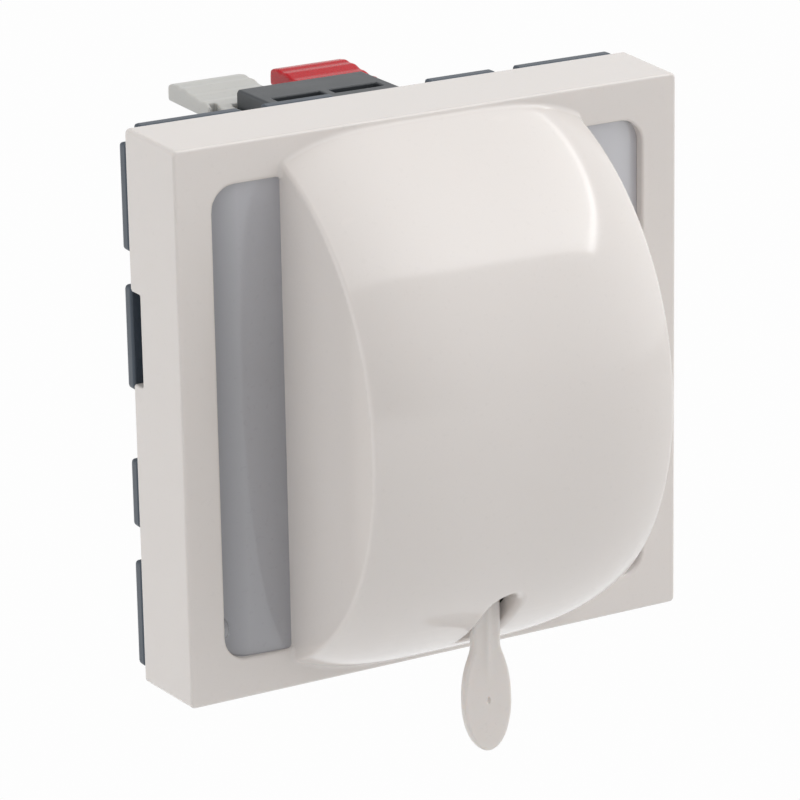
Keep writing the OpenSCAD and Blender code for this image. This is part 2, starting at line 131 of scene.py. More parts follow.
def polygon(u, v, points):
    """Distance to a closed outline given as a list of corners."""
    ring = [tuple(p) for p in points] + [tuple(points[0])]
    inside = np.zeros(np.broadcast(u, v).shape, bool)
    for a, b in zip(ring, ring[1:]):
        if a[1] != b[1]:
            crosses = (v < a[1]) != (v < b[1])
            inside = inside ^ (crosses & (u < a[0] + (v - a[1]) * (b[0] - a[0]) / (b[1] - a[1])))
    return np.where(inside, -1, 1) * polyline(u, v, ring)


def outline(u, v, points, r):
    """A closed outline whose corners are rounded to radius r, outside and in."""
    middle = np.mean(points, axis=0)
    size = np.ptp(points, axis=0)
    shrunk = [middle + (np.array(p) - middle) * (1 - 2 * r / size) for p in points]
    return polygon(u, v, shrunk) - r


# --- meshing ---------------------------------------------------------------

BLOCK = 12
GROWTH = 0.4
SMALLEST_SLOPE = 0.05
SETTLING_STEPS = 4
CORNERS = [(i, j, k) for i in (0, 1) for j in (0, 1) for k in (0, 1)]
EDGES = [(a, b) for a in range(8) for b in range(a + 1, 8)
         if sum(abs(p - q) for p, q in zip(CORNERS[a], CORNERS[b])) == 1]


def lines(low, high, coarse, fine, near):
    """Grid lines, close together beside the listed places and wider elsewhere."""
    at = [low]
    while at[-1] < high:
        gap = min((max(a - at[-1], at[-1] - b, 0) for a, b in near), default=99)
        at.append(at[-1] + min(fine + GROWTH * max(gap - 2 * fine, 0), coarse))
    return np.array(at)


def sample(field, axes):
    """The field on a grid. Blocks that the surface can't reach get one value."""
    values = np.empty([len(a) for a in axes], np.float32)
    for i in range(0, values.shape[0], BLOCK):
        for j in range(0, values.shape[1], BLOCK):
            for k in range(0, values.shape[2], BLOCK):
                part = [a[s:s + BLOCK] for a, s in zip(axes, (i, j, k))]
                middle = [np.array([(p[0] + p[-1]) / 2]) for p in part]
                diagonal = math.sqrt(sum((p[-1] - p[0]) ** 2 for p in part))
                d = field(*middle).item()
                if abs(d) < 0.6 * diagonal + 0.2:
                    d = field(part[0][:, None, None], part[1][None, :, None], part[2][None, None, :])
                values[i:i + BLOCK, j:j + BLOCK, k:k + BLOCK] = d
    return values


def gradient(field, p, h=0.004):
    """Direction in which the field grows, at each point."""
    g = np.empty_like(p)
    for axis in range(3):
        ahead, behind = p.copy(), p.copy()
        ahead[:, axis] += h
        behind[:, axis] -= h
        g[:, axis] = (field(*ahead.T) - field(*behind.T)) / (2 * h)
    return g


def net(field, axes):
    """Vertices, quads and normals of the field's zero surface."""
    values = sample(field, axes)
    inside = values < 0
    count = np.zeros([n - 1 for n in values.shape], np.int8)
    for i, j, k in CORNERS:
        count += inside[i:i + count.shape[0], j:j + count.shape[1], k:k + count.shape[2]]
    cells = np.argwhere((count > 0) & (count < 8))
    number = np.full(count.shape, -1, np.int64)
    number[tuple(cells.T)] = np.arange(len(cells))

    corner = np.stack([values[tuple((cells + c).T)] for c in CORNERS], 1)
    total = np.zeros((len(cells), 3))
    hits = np.zeros(len(cells))
    for a, b in EDGES:
        crosses = (corner[:, a] < 0) != (corner[:, b] < 0)
        t = np.where(crosses, corner[:, a] / np.where(crosses, corner[:, a] - corner[:, b], 1), 0)
        point = np.array(CORNERS[a]) + t[:, None] * (np.array(CORNERS[b]) - np.array(CORNERS[a]))
        total += crosses[:, None] * point
        hits += crosses
    place = total / hits[:, None]
    low = np.stack([a[c] for a, c in zip(axes, cells.T)], 1)
    size = np.stack([a[c + 1] - a[c] for a, c in zip(axes, cells.T)], 1)
    points = low + size * place

    start = points.copy()
    for _ in range(SETTLING_STEPS):
        g = gradient(field, points)
        step = field(*points.T) / np.maximum((g * g).sum(1), SMALLEST_SLOPE)
        points = np.clip(points - step[:, None] * g, start - 0.6 * size, start + 0.6 * size)
    g = gradient(field, points)
    normals = g / np.maximum(np.linalg.norm(g, axis=1), 1e-6)[:, None]

    quads = []
    for axis in range(3):
        a, b = [(1, 2), (2, 0), (0, 1)][axis]
        here = [slice(None)] * 3
        here[axis] = slice(0, -1)
        ahead = [slice(None)] * 3
        ahead[axis] = slice(1, None)
        leaves = inside[tuple(here)] & ~inside[tuple(ahead)]
        enters = ~inside[tuple(here)] & inside[tuple(ahead)]
        for mask, order in ((leaves, (0, 1, 2, 3)), (enters, (3, 2, 1, 0))):
            at = np.argwhere(mask)
            ring = []
            for da, db in ((-1, -1), (0, -1), (0, 0), (-1, 0)):
                cell = at.copy()
                cell[:, a] += da
                cell[:, b] += db
                ring.append(number[tuple(cell.T)])
            quads.append(np.stack([ring[o] for o in order], 1))
    return points, np.concatenate(quads), normals


def mesh_object(name, points, faces, normals=None):
    """A smooth-shaded object from millimetre points in the fields' frame."""
    mesh = bpy.data.meshes.new(name)
    mesh.vertices.add(len(points))
    placed = (np.asarray(points) - (0, SEAT, 0)) * MM
    mesh.vertices.foreach_set("co", placed.astype(np.float32).ravel())
    mesh.loops.add(faces.size)
    mesh.loops.foreach_set("vertex_index", faces.astype(np.int32).ravel())
    mesh.polygons.add(len(faces))
    mesh.polygons.foreach_set("loop_start", np.arange(0, faces.size, faces.shape[1], dtype=np.int32))
    mesh.polygons.foreach_set("use_smooth", [True] * len(faces))
    mesh.update(calc_edges=True)
    if normals is not None:
        mesh.normals_split_custom_set_from_vertices(normals)
    obj = bpy.data.objects.new(name, mesh)
    bpy.context.scene.collection.objects.link(obj)
    return obj


def stand_for(obj, node, body, material):
    """Puts a made piece in the place of a CAD node."""
    obj.data.materials.append(material)
    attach(obj, body)
    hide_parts(node)
    return obj


def moulded(name, field, node, body, material, coarse, fine, near_x=(), near_y=(), near_z=()):
    """A piece meshed from its field, standing for a CAD node."""
    low, high = cad_mm(node)
    axes = [lines(a - 0.53 - 0.01 * i, b + 0.6, coarse, fine, near)
            for i, (a, b, near) in enumerate(zip(low, high, (near_x, near_y, near_z)))]
    obj = mesh_object(name, *net(field, axes))
    return stand_for(obj, node, body, material)


def mirrored(*places):
    """Bands round each place and its mirror image, for lines()."""
    return [(s * p - 0.3, s * p + 0.3) for p in places for s in (-1, 1)]


def bands(*places):
    """A band round each place, for lines()."""
    return [(p - 0.3, p + 0.3) for p in places]


# --- materials -------------------------------------------------------------


class Recipe:
    """A node material in the making."""

    def __init__(self, name):
        self.material = bpy.data.materials.new(name)
        self.material.use_nodes = True
        self.nodes = self.material.node_tree.nodes
        self.nodes.clear()
        self.out = self.add("OutputMaterial")
        self.shader = self.add("BsdfPrincipled")
        self.join(self.shader.outputs[0], self.out.inputs["Surface"])
        self.place = self.add("TexCoord").outputs["Object"]

    @classmethod
    def over(cls, material):
        """Goes on with a material that is already made."""
        m = cls.__new__(cls)
        m.material, m.nodes = material, material.node_tree.nodes
        m.shader = next(n for n in m.nodes if n.type == "BSDF_PRINCIPLED")
        m.place = m.add("TexCoord").outputs["Object"]
        return m

    def add(self, kind, **values):
        node = self.nodes.new("ShaderNode" + kind)
        for key, value in values.items():
            if hasattr(node, key):
                setattr(node, key, value)
            else:
                node.inputs[key.replace("_", " ")].default_value = value
        return node

    def join(self, a, b):
        self.material.node_tree.links.new(a, b)

    def set(self, **values):
        for key, value in values.items():
            self.shader.inputs[key.replace("_", " ")].default_value = value

    def noise(self, scale, detail=2.0, vector=None):
        node = self.add("TexNoise", Scale=scale, Detail=detail)
        self.join(vector or self.place, node.inputs["Vector"])
        return node.outputs["Fac"]

    def remap(self, value, low, high, start=0.0, end=1.0):
        node = self.add("MapRange")
        for key, number in (("From Min", start), ("From Max", end), ("To Min", low), ("To Max", high)):
            node.inputs[key].default_value = number
        self.join(value, node.inputs["Value"])
        return node.outputs["Result"]

    def blend(self, factor, a, b):
        node = self.add("Mix", data_type="RGBA")
        self.join(factor, node.inputs["Factor"])
        for value, port in ((a, node.inputs[6]), (b, node.inputs[7])):
            if isinstance(value, tuple):
                port.default_value = (*value, 1)
            else:
                self.join(value, port)
        return node.outputs[2]

    def colour(self, value):
        self.join(value, self.shader.inputs["Base Color"])

    def rough(self, value):
        self.join(value, self.shader.inputs["Roughness"])

    def bump(self, *layers):
        """Layers of (height, strength, depth in millimetres)."""
        normal = None
        for height, strength, depth in layers:
            node = self.add("Bump", Strength=strength, Distance=depth * MM)
            self.join(height, node.inputs["Height"])
            if normal:
                self.join(normal, node.inputs["Normal"])
            normal = node.outputs["Normal"]
        self.join(normal, self.shader.inputs["Normal"])

    def edges(self, soft=0.02):
        """1 on sharp convex edges, 0 on flats."""
        return self.remap(self.add("NewGeometry").outputs["Pointiness"], 0, 1, 0.5 + soft, 0.5 + 4 * soft)


def tint(colour, by):
    """A colour made brighter or darker."""
    return tuple(min(max(c * by, 0), 1) for c in colour)


def plastic(name, colour, rough, grain=0.0, grain_size=0.1, sink=0.0, depth=0.0, coat=0.0,
            coat_rough=0.05, spread=0.02, edge_lightening=0.1, index=1.5):
    """Moulded plastic: cloudy tone, mould texture, faint sink marks, lighter sharp edges."""
    m = Recipe(name)
    cloud = m.noise(130, 4)
    tone = m.blend(cloud, tint(colour, 1 - spread), tint(colour, 1 + spread))
    specks = m.remap(m.noise(2600, 1), 0, 1, 0.66, 0.72)
    tone = m.blend(specks, tone, tint(colour, 1 - 2 * spread))
    m.colour(m.blend(m.remap(m.edges(), 0, edge_lightening), tone, tint(colour, 1.25)))
    m.rough(m.remap(m.noise(380, 5), 0.82 * rough, 1.2 * rough))
    m.bump((m.noise(75, 1), sink, 1.0), (m.noise(1 / (grain_size * MM), 3), grain, 0.05))
    m.set(Subsurface_Weight=depth, Subsurface_Radius=(1.0, 0.85, 0.7), Subsurface_Scale=0.7 * MM,
          Coat_Weight=coat, Coat_Roughness=coat_rough, IOR=index)
    return m.material


def metal(name, colour, rough=0.3, brushed=0.25, grain=(400, 5000, 5000)):
    """Bare metal with a drawn grain, faint tarnish and brighter edges."""
    m = Recipe(name)
    stretch = m.add("Mapping")
    stretch.inputs["Scale"].default_value = grain
    m.join(m.place, stretch.inputs["Vector"])
    streak = m.noise(1, 4, stretch.outputs["Vector"])
    tone = m.blend(m.noise(420, 3), tint(colour, 0.78), colour)
    m.colour(m.blend(m.remap(m.edges(), 0, 0.5), tone, tint(colour, 1.2)))
    m.rough(m.remap(streak, 0.7 * rough, 1.4 * rough))
    m.bump((streak, brushed, 0.01))
    m.set(Metallic=1)
    return m.material


white = plastic("white_gloss_plastic", (0.80, 0.753, 0.72), 0.13, grain=0.03, grain_size=0.12,
                sink=0.012, depth=0.1, coat=0.25, spread=0.008, edge_lightening=0.05)
window_grey = plastic("grey_diffuser_plastic", (0.41, 0.41, 0.435), 0.035, grain=0.02, sink=0.008,
                      depth=0.25, coat=1.0, coat_rough=0.02, edge_lightening=0.05)
# Window tones for painted light at the tops and on the right, and painted shade at the left edge.
PAINTED_LIGHT_TOP, PAINTED_LIGHT_RIGHT, PAINTED_SHADE_LEFT = (0.62, 0.62, 0.66), (0.62, 0.62, 0.65), (0.27, 0.275, 0.30)


def paint_window_light_and_shade(material):
    """Painted light and shade on the windows: darker and bluer painted shade towards the left edge, painted
    light at the tops and on the right.
    """
    m = Recipe.over(material)
    split = m.add("SeparateXYZ")
    m.join(m.place, split.inputs[0])
    # Masks for the painted shade at the left edge, then the painted light on the right and at the tops.
    painted_shade_mask = m.remap(split.outputs["X"], 1, 0, -18.6 * MM, -16.8 * MM)
    right = m.remap(split.outputs["X"], 0, 0.8, 12 * MM, 17 * MM)
    base = m.shader.inputs["Base Color"].links[0].from_socket
    upper = m.remap(split.outputs["Z"], 0, 0.35, 4 * MM, 18 * MM)
    tone = m.blend(right, m.blend(upper, base, PAINTED_LIGHT_TOP), PAINTED_LIGHT_RIGHT)
    m.colour(m.blend(m.remap(painted_shade_mask, 0, 0.75), tone, PAINTED_SHADE_LEFT))


paint_window_light_and_shade(window_grey)
tab_white = plastic("tab_plastic", (0.79, 0.75, 0.72), 0.3, grain=0.08, grain_size=0.15, sink=0.02,
                    depth=0.45, spread=0.015)
lever_white = plastic("lever_white_plastic", (0.57, 0.565, 0.54), 0.33, grain=0.12, sink=0.02,
                      depth=0.2, spread=0.03)
lever_red = plastic("lever_red_plastic", (0.52, 0.008, 0.016), 0.24, grain=0.06, sink=0.02, depth=0.1,
                    spread=0.06, index=1.35)
terminal_grey = plastic("terminal_grey_plastic", (0.048, 0.054, 0.060), 0.38, grain=0.25,
                        grain_size=0.12, sink=0.01, spread=0.08, edge_lightening=0.35)
housing_grey = plastic("housing_plastic", (0.040, 0.046, 0.055), 0.42, grain=0.35, grain_size=0.14,
                       sink=0.01, spread=0.08, edge_lightening=0.35)
slate = plastic("slate_frame_plastic", (0.052, 0.070, 0.094), 0.36, grain=0.25, grain_size=0.12,
                sink=0.01, spread=0.07, edge_lightening=0.35)
bush_white = plastic("bush_plastic", (0.62, 0.61, 0.58), 0.4, grain=0.1, depth=0.2)
mechanism_white = plastic("mechanism_plastic", (0.66, 0.65, 0.60), 0.38, grain=0.12, depth=0.2)
chip_black = plastic("chip_plastic", (0.012, 0.012, 0.013), 0.45, grain=0.3, spread=0.15, edge_lightening=0.3)
led_epoxy = plastic("led_epoxy", (0.80, 0.76, 0.52), 0.1, grain=0.02, depth=0.6, coat=0.5)
zinc = metal("zinc_plated_steel", (0.62, 0.63, 0.64), 0.32)
spring_steel = metal("spring_steel", (0.55, 0.56, 0.58), 0.22, grain=(2500, 2500, 2500))
brass = metal("stamped_brass", (0.78, 0.57, 0.23), 0.3)
bronze = metal("phosphor_bronze", (0.68, 0.40, 0.22), 0.3)
silver = metal("contact_silver", (0.82, 0.82, 0.83), 0.25, grain=(3000, 3000, 3000))


def board_material():
    """Green solder mask over faint copper tracks."""
    m = Recipe("board_solder_mask")
    tracks = m.add("TexBrick", Scale=620.0, offset=0.5)
    tracks.inputs["Mortar Size"].default_value = 0.03
    turned = m.add("Mapping")
    turned.inputs["Rotation"].default_value = (math.pi / 2, 0, 0)
    m.join(m.place, turned.inputs["Vector"])
    m.join(turned.outputs["Vector"], tracks.inputs["Vector"])
    copper = tracks.outputs["Fac"]
    tone = m.blend(m.noise(300, 3), (0.010, 0.075, 0.030), (0.014, 0.100, 0.040))
    m.colour(m.blend(m.remap(copper, 0, 0.7), tone, (0.03, 0.16, 0.06)))
    m.rough(m.remap(m.noise(900, 2), 0.22, 0.38))
    m.bump((copper, 0.3, 0.03), (m.noise(4000, 2), 0.1, 0.01))
    m.set(Coat_Weight=0.3)
    return m.material


solder_mask = board_material()

# --- sizes that several moulded parts share --------------------------------

# White cover: square rim, face plate, windows and dome.
FACE_HALF = 22.5
RIM_DEPTH = 7.6
FRONT_Y = -RIM_DEPTH
WALL = 1.6
PLATE_BACK = FRONT_Y + WALL
INNER_HALF = FACE_HALF - WALL
DRAFT = 0.22
WINDOW_HALF = (19.15, 19.05)
WINDOW_CORNER = 2.0
DOME_HALF = 13.25

# Side key and snaps between the cover and the frame.
KEY_Z = (2.3, 9.55)
SNAP_Z = 3

# Pull tab, mechanism case, screw bosses, lever pins and plunger.
TAB_Y = -14.6
HOOK_Z = -0.556
CASE_FRONT = -1.5
BOSS = (17.4, 16.4)
PIN_Y, PIN_Z = 12.6, 16.4
PLUNGER_Z = -9


# --- white cover -----------------------------------------------------------

RIM_CORNER = 0.4

# The dome is a part of a cylinder along X, crowned towards its middle.
DOME_R = 21.56
DOME_CROWN = 1.65
DOME_AXIS_Y = 0.3
DOME_EDGE = 0.25

# Notch for the tab, and the ribs that hold the cord guide behind it.
NOTCH_R = 1.5
NOTCH_TOP = -14.0
NOTCH_X = 0.2
NOTCH_BACK = -12
RIB_LOW, RIB_HIGH = (3.25, -18, -19), (4.25, -11.8, -10.6)
BUSH_SEAT = ((-3.95, -16.45, -13.45), (3.95, -12.3, -11.35))


def dome(x, y, z, shrink=0.0):
    """Barrel-shaped hood, or with shrink its hollow."""
    crown = 1 - np.minimum(np.abs(x) / DOME_HALF, 1.15) ** 4
    shell = np.hypot(y - DOME_AXIS_Y, z) - DOME_R - DOME_CROWN * crown + shrink
    return round_and(shell, np.abs(x) - DOME_HALF + shrink, max(DOME_EDGE - shrink, 0.05))


def notch(x, z):
    """Slot with a round top, open downwards."""
    return np.hypot(x - NOTCH_X, np.maximum(z - NOTCH_TOP + NOTCH_R, 0)) - NOTCH_R


def cover_outside(x, y, z):
    """The rim and the dome as one solid, before the notch and the hollows."""
    side = FACE_HALF + DRAFT * y / RIM_DEPTH
    rim = round_and(rounded_rect(x, z, side, side, RIM_CORNER), FRONT_Y - y, 0.22)
    rim = round_and(rim, y, 0.12)
    rim = carve(rim, rounded_rect(x, z, *WINDOW_HALF, WINDOW_CORNER), 0.2)
    hood = round_and(dome(x, y, z), y - PLATE_BACK, 0.1)
    hood = np.maximum(hood, np.where(y > FRONT_Y + 0.5, np.abs(z) - INNER_HALF + 0.5, -9))
    return round_or(rim, hood, 0.35)


def cover_field(x, y, z):
    """Thin-walled cover with its notch, guide ribs, side snaps and key openings."""
    solid = cover_outside(x, y, z)
    scoop = round_and(notch(x, z), y - NOTCH_BACK, 0.5)
    flare = 0.15 + 0.4 * np.clip((x + 0.3) / 1.4, 0, 1)
    flare = flare + 0.6 * np.clip(-x - 0.3, 0, 1) * np.clip((-z - 19) / 1.5, 0, 1)
    solid = carve(solid, scoop, flare)
    cavity = np.maximum(rounded_rect(x, z, INNER_HALF, INNER_HALF, 0.6), PLATE_BACK - y)
    shell = cut(cut(solid, cavity), dome(x, y, z, shrink=WALL))
    ribs = np.maximum(block(np.abs(x), y, z, RIB_LOW, RIB_HIGH), dome(x, y, z, shrink=WALL / 2))
    shell = np.minimum(shell, cut(ribs, block(x, y, z, *BUSH_SEAT)))
    snaps = block(np.abs(x), y, z, (INNER_HALF - 0.5, -2.6, -SNAP_Z), (INNER_HALF + 0.1, -1.6, SNAP_Z))
    shell = np.minimum(shell, snaps)
    key = block(np.abs(x), y, z, (INNER_HALF - 1, -1.45, KEY_Z[0] - 0.1), (30, 2, KEY_Z[1] + 0.1), 0.2)
    return carve(shell, key, 0.12)


moulded("cover_shell", cover_field, "front_cover", "base", white, 0.55, 0.16,
        near_x=mirrored(22.3, 20.9, 19.15, 13.0) + [(-2.6, 2.6)],
        near_y=bands(-7.4, -6, -1.45, 0) + [(-19.5, -11.5)],
        near_z=mirrored(22.3, 20.9, 19.05) + bands(*KEY_Z) + [(-20.5, -12.5)])


# --- light windows and cord guide ------------------------------------------

# Convex windows, set a little below the face and tucked under its edges.
WINDOW_CURVE = 32
WINDOW_SINK = 0.3
OVERLAP = 0.1
NUB = (18.95, -6.9, -16.5)
NUB_R = 0.4


def diffuser_field(x, y, z):
    """Two windows with a small moulding nub each, joined by a flange behind the face."""
    far = np.abs(x)
    front = np.hypot(far - DOME_HALF, y - FRONT_Y - WINDOW_SINK - WINDOW_CURVE) - WINDOW_CURVE
    half_x, half_z = (half + OVERLAP for half in WINDOW_HALF)
    panel = round_and(rounded_rect(x, z, half_x, half_z, WINDOW_CORNER + OVERLAP), front, 0.12)
    panel = np.maximum(panel, DOME_HALF - 0.12 - far)
    panel = np.maximum(panel, y - PLATE_BACK - 0.15)
    nub = np.hypot(np.hypot(far - NUB[0], y - NUB[1]), (z - NUB[2]) / 2) - NUB_R
    panel = round_or(panel, nub, 0.1)
    flange = np.maximum(rounded_rect(x, z, INNER_HALF - 0.05, INNER_HALF - 0.05, 1),
                        span(y, PLATE_BACK + 0.05, PLATE_BACK + 1.2))
    return np.minimum(panel, cut(flange, rounded_rect(x, z, 12, 18.5, 0.5)))


moulded("window_diffuser", diffuser_field, "light_diffuser", "base", window_grey, 0.5, 0.14,
        near_x=mirrored(19.0, 13.4, 20.85, 12), near_y=[(-7.5, -4.7)],
        near_z=mirrored(19.0, 20.85, 18.5))


BUSH = ((-3.2, -16.4, -14.2), (3.2, -12.4, -10.8))
BUSH_TONGUES = ((-3.9, -16.4, -13.4), (3.9, -12.4, -11.4))
BUSH_CHAMFER = 0.919


def bush_field(x, y, z):
    """Block with side tongues and a slot for the tab, its lower front edge cut along the dome."""
    body = np.minimum(block(x, y, z, *BUSH, 0.2), block(x, y, z, *BUSH_TONGUES, 0.2))
    slope = (BUSH_CHAMFER - (y - BUSH[0][1]) - (z - BUSH[0][2])) / math.sqrt(2)
    body = round_and(body, slope, 0.1)
    return carve(body, block(x, y, z, (-1.4, TAB_Y - 0.6, -20), (1.4, TAB_Y + 0.6, 0), 0.2), 0.25)


moulded("cord_guide", bush_field, "cord_bush", "base", bush_white, 0.2, 0.2)


# --- pull tab --------------------------------------------------------------

PADDLE_Z = -23.8
PADDLE_HALF = (2.175, 4.1)
NECK_HALF = 1.25
SHEET_HALF = 0.4
MARK_Z = -23.7
HOOK_HALF = 3.3


def tab_field(x, y, z):
    """Flat neck and oval paddle, a little dished, with a cross-bar at the top end."""
    sag = np.clip((-21 - z) / 7, 0, 2)
    middle = TAB_Y - 0.4 * sag ** 1.6
    up = z - PADDLE_Z
    power = np.where(up > 0, 2.4, 2.0)
    near = (np.abs(x) / PADDLE_HALF[0]) ** power + (np.abs(up) / PADDLE_HALF[1]) ** power + 1e-9
    paddle = (1 - near ** (-1 / power)) * np.hypot(x, up)
    neck = np.maximum(np.abs(x) - NECK_HALF, -z - 23)
    shape = np.maximum(round_or(paddle, neck, 0.9), z - HOOK_Z)
    ridge = 0.13 * np.exp(-(x / 0.3) ** 2) * np.clip((z + 22.2) / 3, 0, 1)
    sheet = np.abs(y - middle + ridge / 2) - SHEET_HALF - ridge / 2
    mark = np.hypot(np.hypot(x, (z - MARK_Z) / 1.5), y - middle + SHEET_HALF) - 0.17
    blade = carve(round_and(shape, sheet, 0.28), mark, 0.05)
    hook = round_and(disc(y - TAB_Y, z - HOOK_Z, 0.7), np.abs(x) - HOOK_HALF, 0.15)
    return round_or(blade, hook, 0.2)


moulded("tab_tag", tab_field, "pull_tab", "tab", tab_white, 0.2, 0.1,
        near_x=[(-0.5, 0.5)], near_y=[(-18, -13)], near_z=[(-24.4, -23)])


# --- mounting frame --------------------------------------------------------

GAP_FLOOR = 21.4
CORNER_CUT = 21.25
TOP_GAPS = ((10.3, 12.4), (-4.3, 4.3))
SIDE_GAPS = ((10, 12.7), (-4.1, 1.6), (-12.5, -9.7))
COLLAR_HALF = 20.8
COLLAR_HOLE = 19.4
COLLAR_FRONT = -4.75
CLIP_Z = 19.6
CLIP = [(1, -0.6), (6.4, -0.6), (6.4, 0.3), (4.9, 0.9), (4.2, 1.2), (3.7, 1.2), (3.3, 0.6), (1, 0.6)]
OPENING = (16.3, 14.8)
RELIEF_HALF = 5.85


def frame_field(x, y, z):
    """Flange with gaps round its edge, collar inside the rim, screw bosses and clips."""
    wide, tall = np.abs(x), np.abs(z)
    flange = round_and(rounded_rect(x, z, FACE_HALF, FACE_HALF, 1), span(y, 0.02, SEAT), 0.22)
    flange = carve(flange, CORNER_CUT - np.minimum(wide, tall), 0.3)
    for gap in TOP_GAPS:
        flange = carve(flange, np.maximum(GAP_FLOOR - tall, span(wide, *gap)), 0.2)
    for gap in SIDE_GAPS:
        flange = carve(flange, np.maximum(GAP_FLOOR - wide, span(z, *gap)), 0.35)
    collar = round_and(rounded_rect(x, z, COLLAR_HALF, COLLAR_HALF, 1), span(y, COLLAR_FRONT, 0.1), 0.15)
    collar = cut(collar, rounded_rect(x, z, COLLAR_HOLE, COLLAR_HOLE, 0.6))
    key = block(wide, y, z, (20.3, -1.4, KEY_Z[0]), (21.2, 0.5, KEY_Z[1]), 0.2)
    boss = round_and(disc(wide - BOSS[0], tall - BOSS[1], 2.1), span(y, 1, 5.6), 0.2)
    clip = round_and(outline(y, tall - CLIP_Z, CLIP, 0.1), span(wide, 14, 19), 0.15)
    solid = np.minimum(np.minimum(flange, collar), key)
    solid = round_or(solid, np.minimum(boss, clip), 0.25)
    opening = np.maximum(rounded_rect(x, z, *OPENING, 1.2), span(y, -1, 3))
    relief = block(x, y, z, (-RELIEF_HALF, -0.05, 0), (RELIEF_HALF, 3, 20.45), 0.3)
    solid = carve(solid, np.minimum(opening, relief), 0.15)
    solid = carve(solid, np.maximum(disc(wide - BOSS[0], tall - BOSS[1], 0.85), span(y, -1, 9)), 0.2)
    snap = block(wide, y, z, (18.8, -2.8, -SNAP_Z - 0.2), (FACE_HALF, -1.42, SNAP_Z + 0.2), 0.05)
    return cut(solid, snap)


moulded("frame_moulding", frame_field, "mounting_frame", "base", slate, 0.5, 0.17,
        near_x=mirrored(22.4, GAP_FLOOR, COLLAR_HALF, COLLAR_HOLE, 16.3, 14, 12.4, 10.3, RELIEF_HALF, 4.3),
        near_y=[(-0.3, 1.4), (3, 5)] + bands(COLLAR_FRONT, -1.4, 5.6, 6.4),
        near_z=mirrored(22.4, 21.4, 20.6, 19.4, 14.8) + bands(*KEY_Z, 10, 12.7, -4.1, 1.6, -12.5, -9.7))


# --- mechanism housing -----------------------------------------------------

# Stepped body: half width and half height, and how far back each step goes.
BODY = (16.2, 14.7)
WIDE_BACK = 10
REAR_HALF = 10.6
BODY_BACK = 22
STEPS = ((BODY[0], WIDE_BACK), (REAR_HALF, BODY_BACK))
PARTING = (15.85, 16.15)
PANEL_Z = -3.6
PANEL_HALF = (7.8, 8.2)
FLANGE_HALF = (19, 18.4)
ROCKER_AXIS = (-3.1, -3)
WIRE = (3.3, 10.5)
WIRE_R = 1.4

# Walls inside the case, by their lowest and highest corners.
SHELF = ((-15, 3, -14), (15, 4.5, -0.5))
ROCKER_CHEEKS = ((5, -5.3, -5.4), (6.4, 3.1, -0.6))
BUSBAR_POSTS = ((3.2, 13.25, -14), (7.2, 21, -5.4))
CLAMP_SEATS = ((1.4, 13.4, 5.4), (5.2, 21, 6.9))
WIRE_STOPS = ((1.5, 17, 12.65), (5.1, 19.5, 14))


def case_outside(x, y, z):
    """Stepped body with a parting groove, a recessed back panel and a front flange."""
    rear_plan = rounded_rect(x, z, REAR_HALF, BODY[1], 1.1)
    rear = round_and(rear_plan, span(y, CASE_FRONT, BODY_BACK), 0.35)
    groove = np.maximum(span(y, *PARTING), -rear_plan - 0.22)
    front = round_and(rounded_rect(x, z, *BODY, 1.1), span(y, CASE_FRONT, WIDE_BACK), 0.35)
    body = round_or(front, carve(rear, groove, 0.06), 0.4)
    panel = np.maximum(rounded_rect(x, z - PANEL_Z, *PANEL_HALF, 0.8), BODY_BACK - 0.3 - y)
    flange = round_and(rounded_rect(x, z, *FLANGE_HALF, 2), span(y, CASE_FRONT, -0.05), 0.15)
    return round_or(carve(body, panel, 0.12), flange, 0.2)


def case_hollow(x, y, z):
    """The room inside both steps of the case."""
    high = BODY[1] - WALL
    wide_part, rear_part = (block(np.abs(x), y, z, (-99, -5, -high), (half - WALL, back - WALL, high), 0.4)
                            for half, back in STEPS)
    return np.minimum(wide_part, rear_part)


def housing_field(x, y, z):
    """Case with its inner walls, axle and plunger holes, wire entries and top openings."""
    wide, tall = np.abs(x), np.abs(z)
    shell = np.minimum(cut(case_outside(x, y, z), case_hollow(x, y, z)), block(x, y, z, *SHELF))
    for corners in (ROCKER_CHEEKS, BUSBAR_POSTS, CLAMP_SEATS, WIRE_STOPS):
        shell = np.minimum(shell, block(wide, y, z, *corners))
    shell = cut(shell, np.maximum(disc(y - ROCKER_AXIS[0], z - ROCKER_AXIS[1], 1.02), wide - 10))
    shell = cut(shell, np.maximum(disc(x, z - PLUNGER_Z, 1.56), span(y, 0, 6)))
    shell = cut(shell, np.maximum(disc(wide - BOSS[0], tall - BOSS[1], 1.1), span(y, -3, 1)))
    funnel = WIRE_R + 0.9 * np.clip(y - BODY_BACK + 0.55, 0, 1)
    entry = np.maximum(disc(wide - WIRE[0], z - WIRE[1], funnel), BODY_BACK - 3 - y)
    shell = carve(shell, entry, 0.1)
    shell = carve(shell, block(wide, y, z, (2, 12.8, 13), (4.6, 16.2, 16), 0.15), 0.1)
    return carve(shell, block(x, y, z, (-1.3, 3.9, 12.9), (1.3, 8.1, 16), 0.15), 0.1)


moulded("housing_shell", housing_field, "rear_housing", "base", housing_grey, 0.6, 0.17,
        near_x=mirrored(16, 14.6, 10.4, 9, 7.8, 19, 4.6, 2) + mirrored(1.9, 4.7),
        near_y=bands(-1.5, -0.05, 9.9, 8.4, 16, 21.8, 20.4, 12.8, 16.2, 3, 4.5),
        near_z=mirrored(14.5, 13.1, 18.4) + bands(-11.8, 4.6, 9.1, 11.9))


# --- terminal cover --------------------------------------------------------

HOOD = [(1.15, 14.75), (13.9, 14.75), (13.9, 20.15), (13.7, 20.35), (1.95, 20.35), (1.15, 19.55)]
HOOD_HALF = 5.75


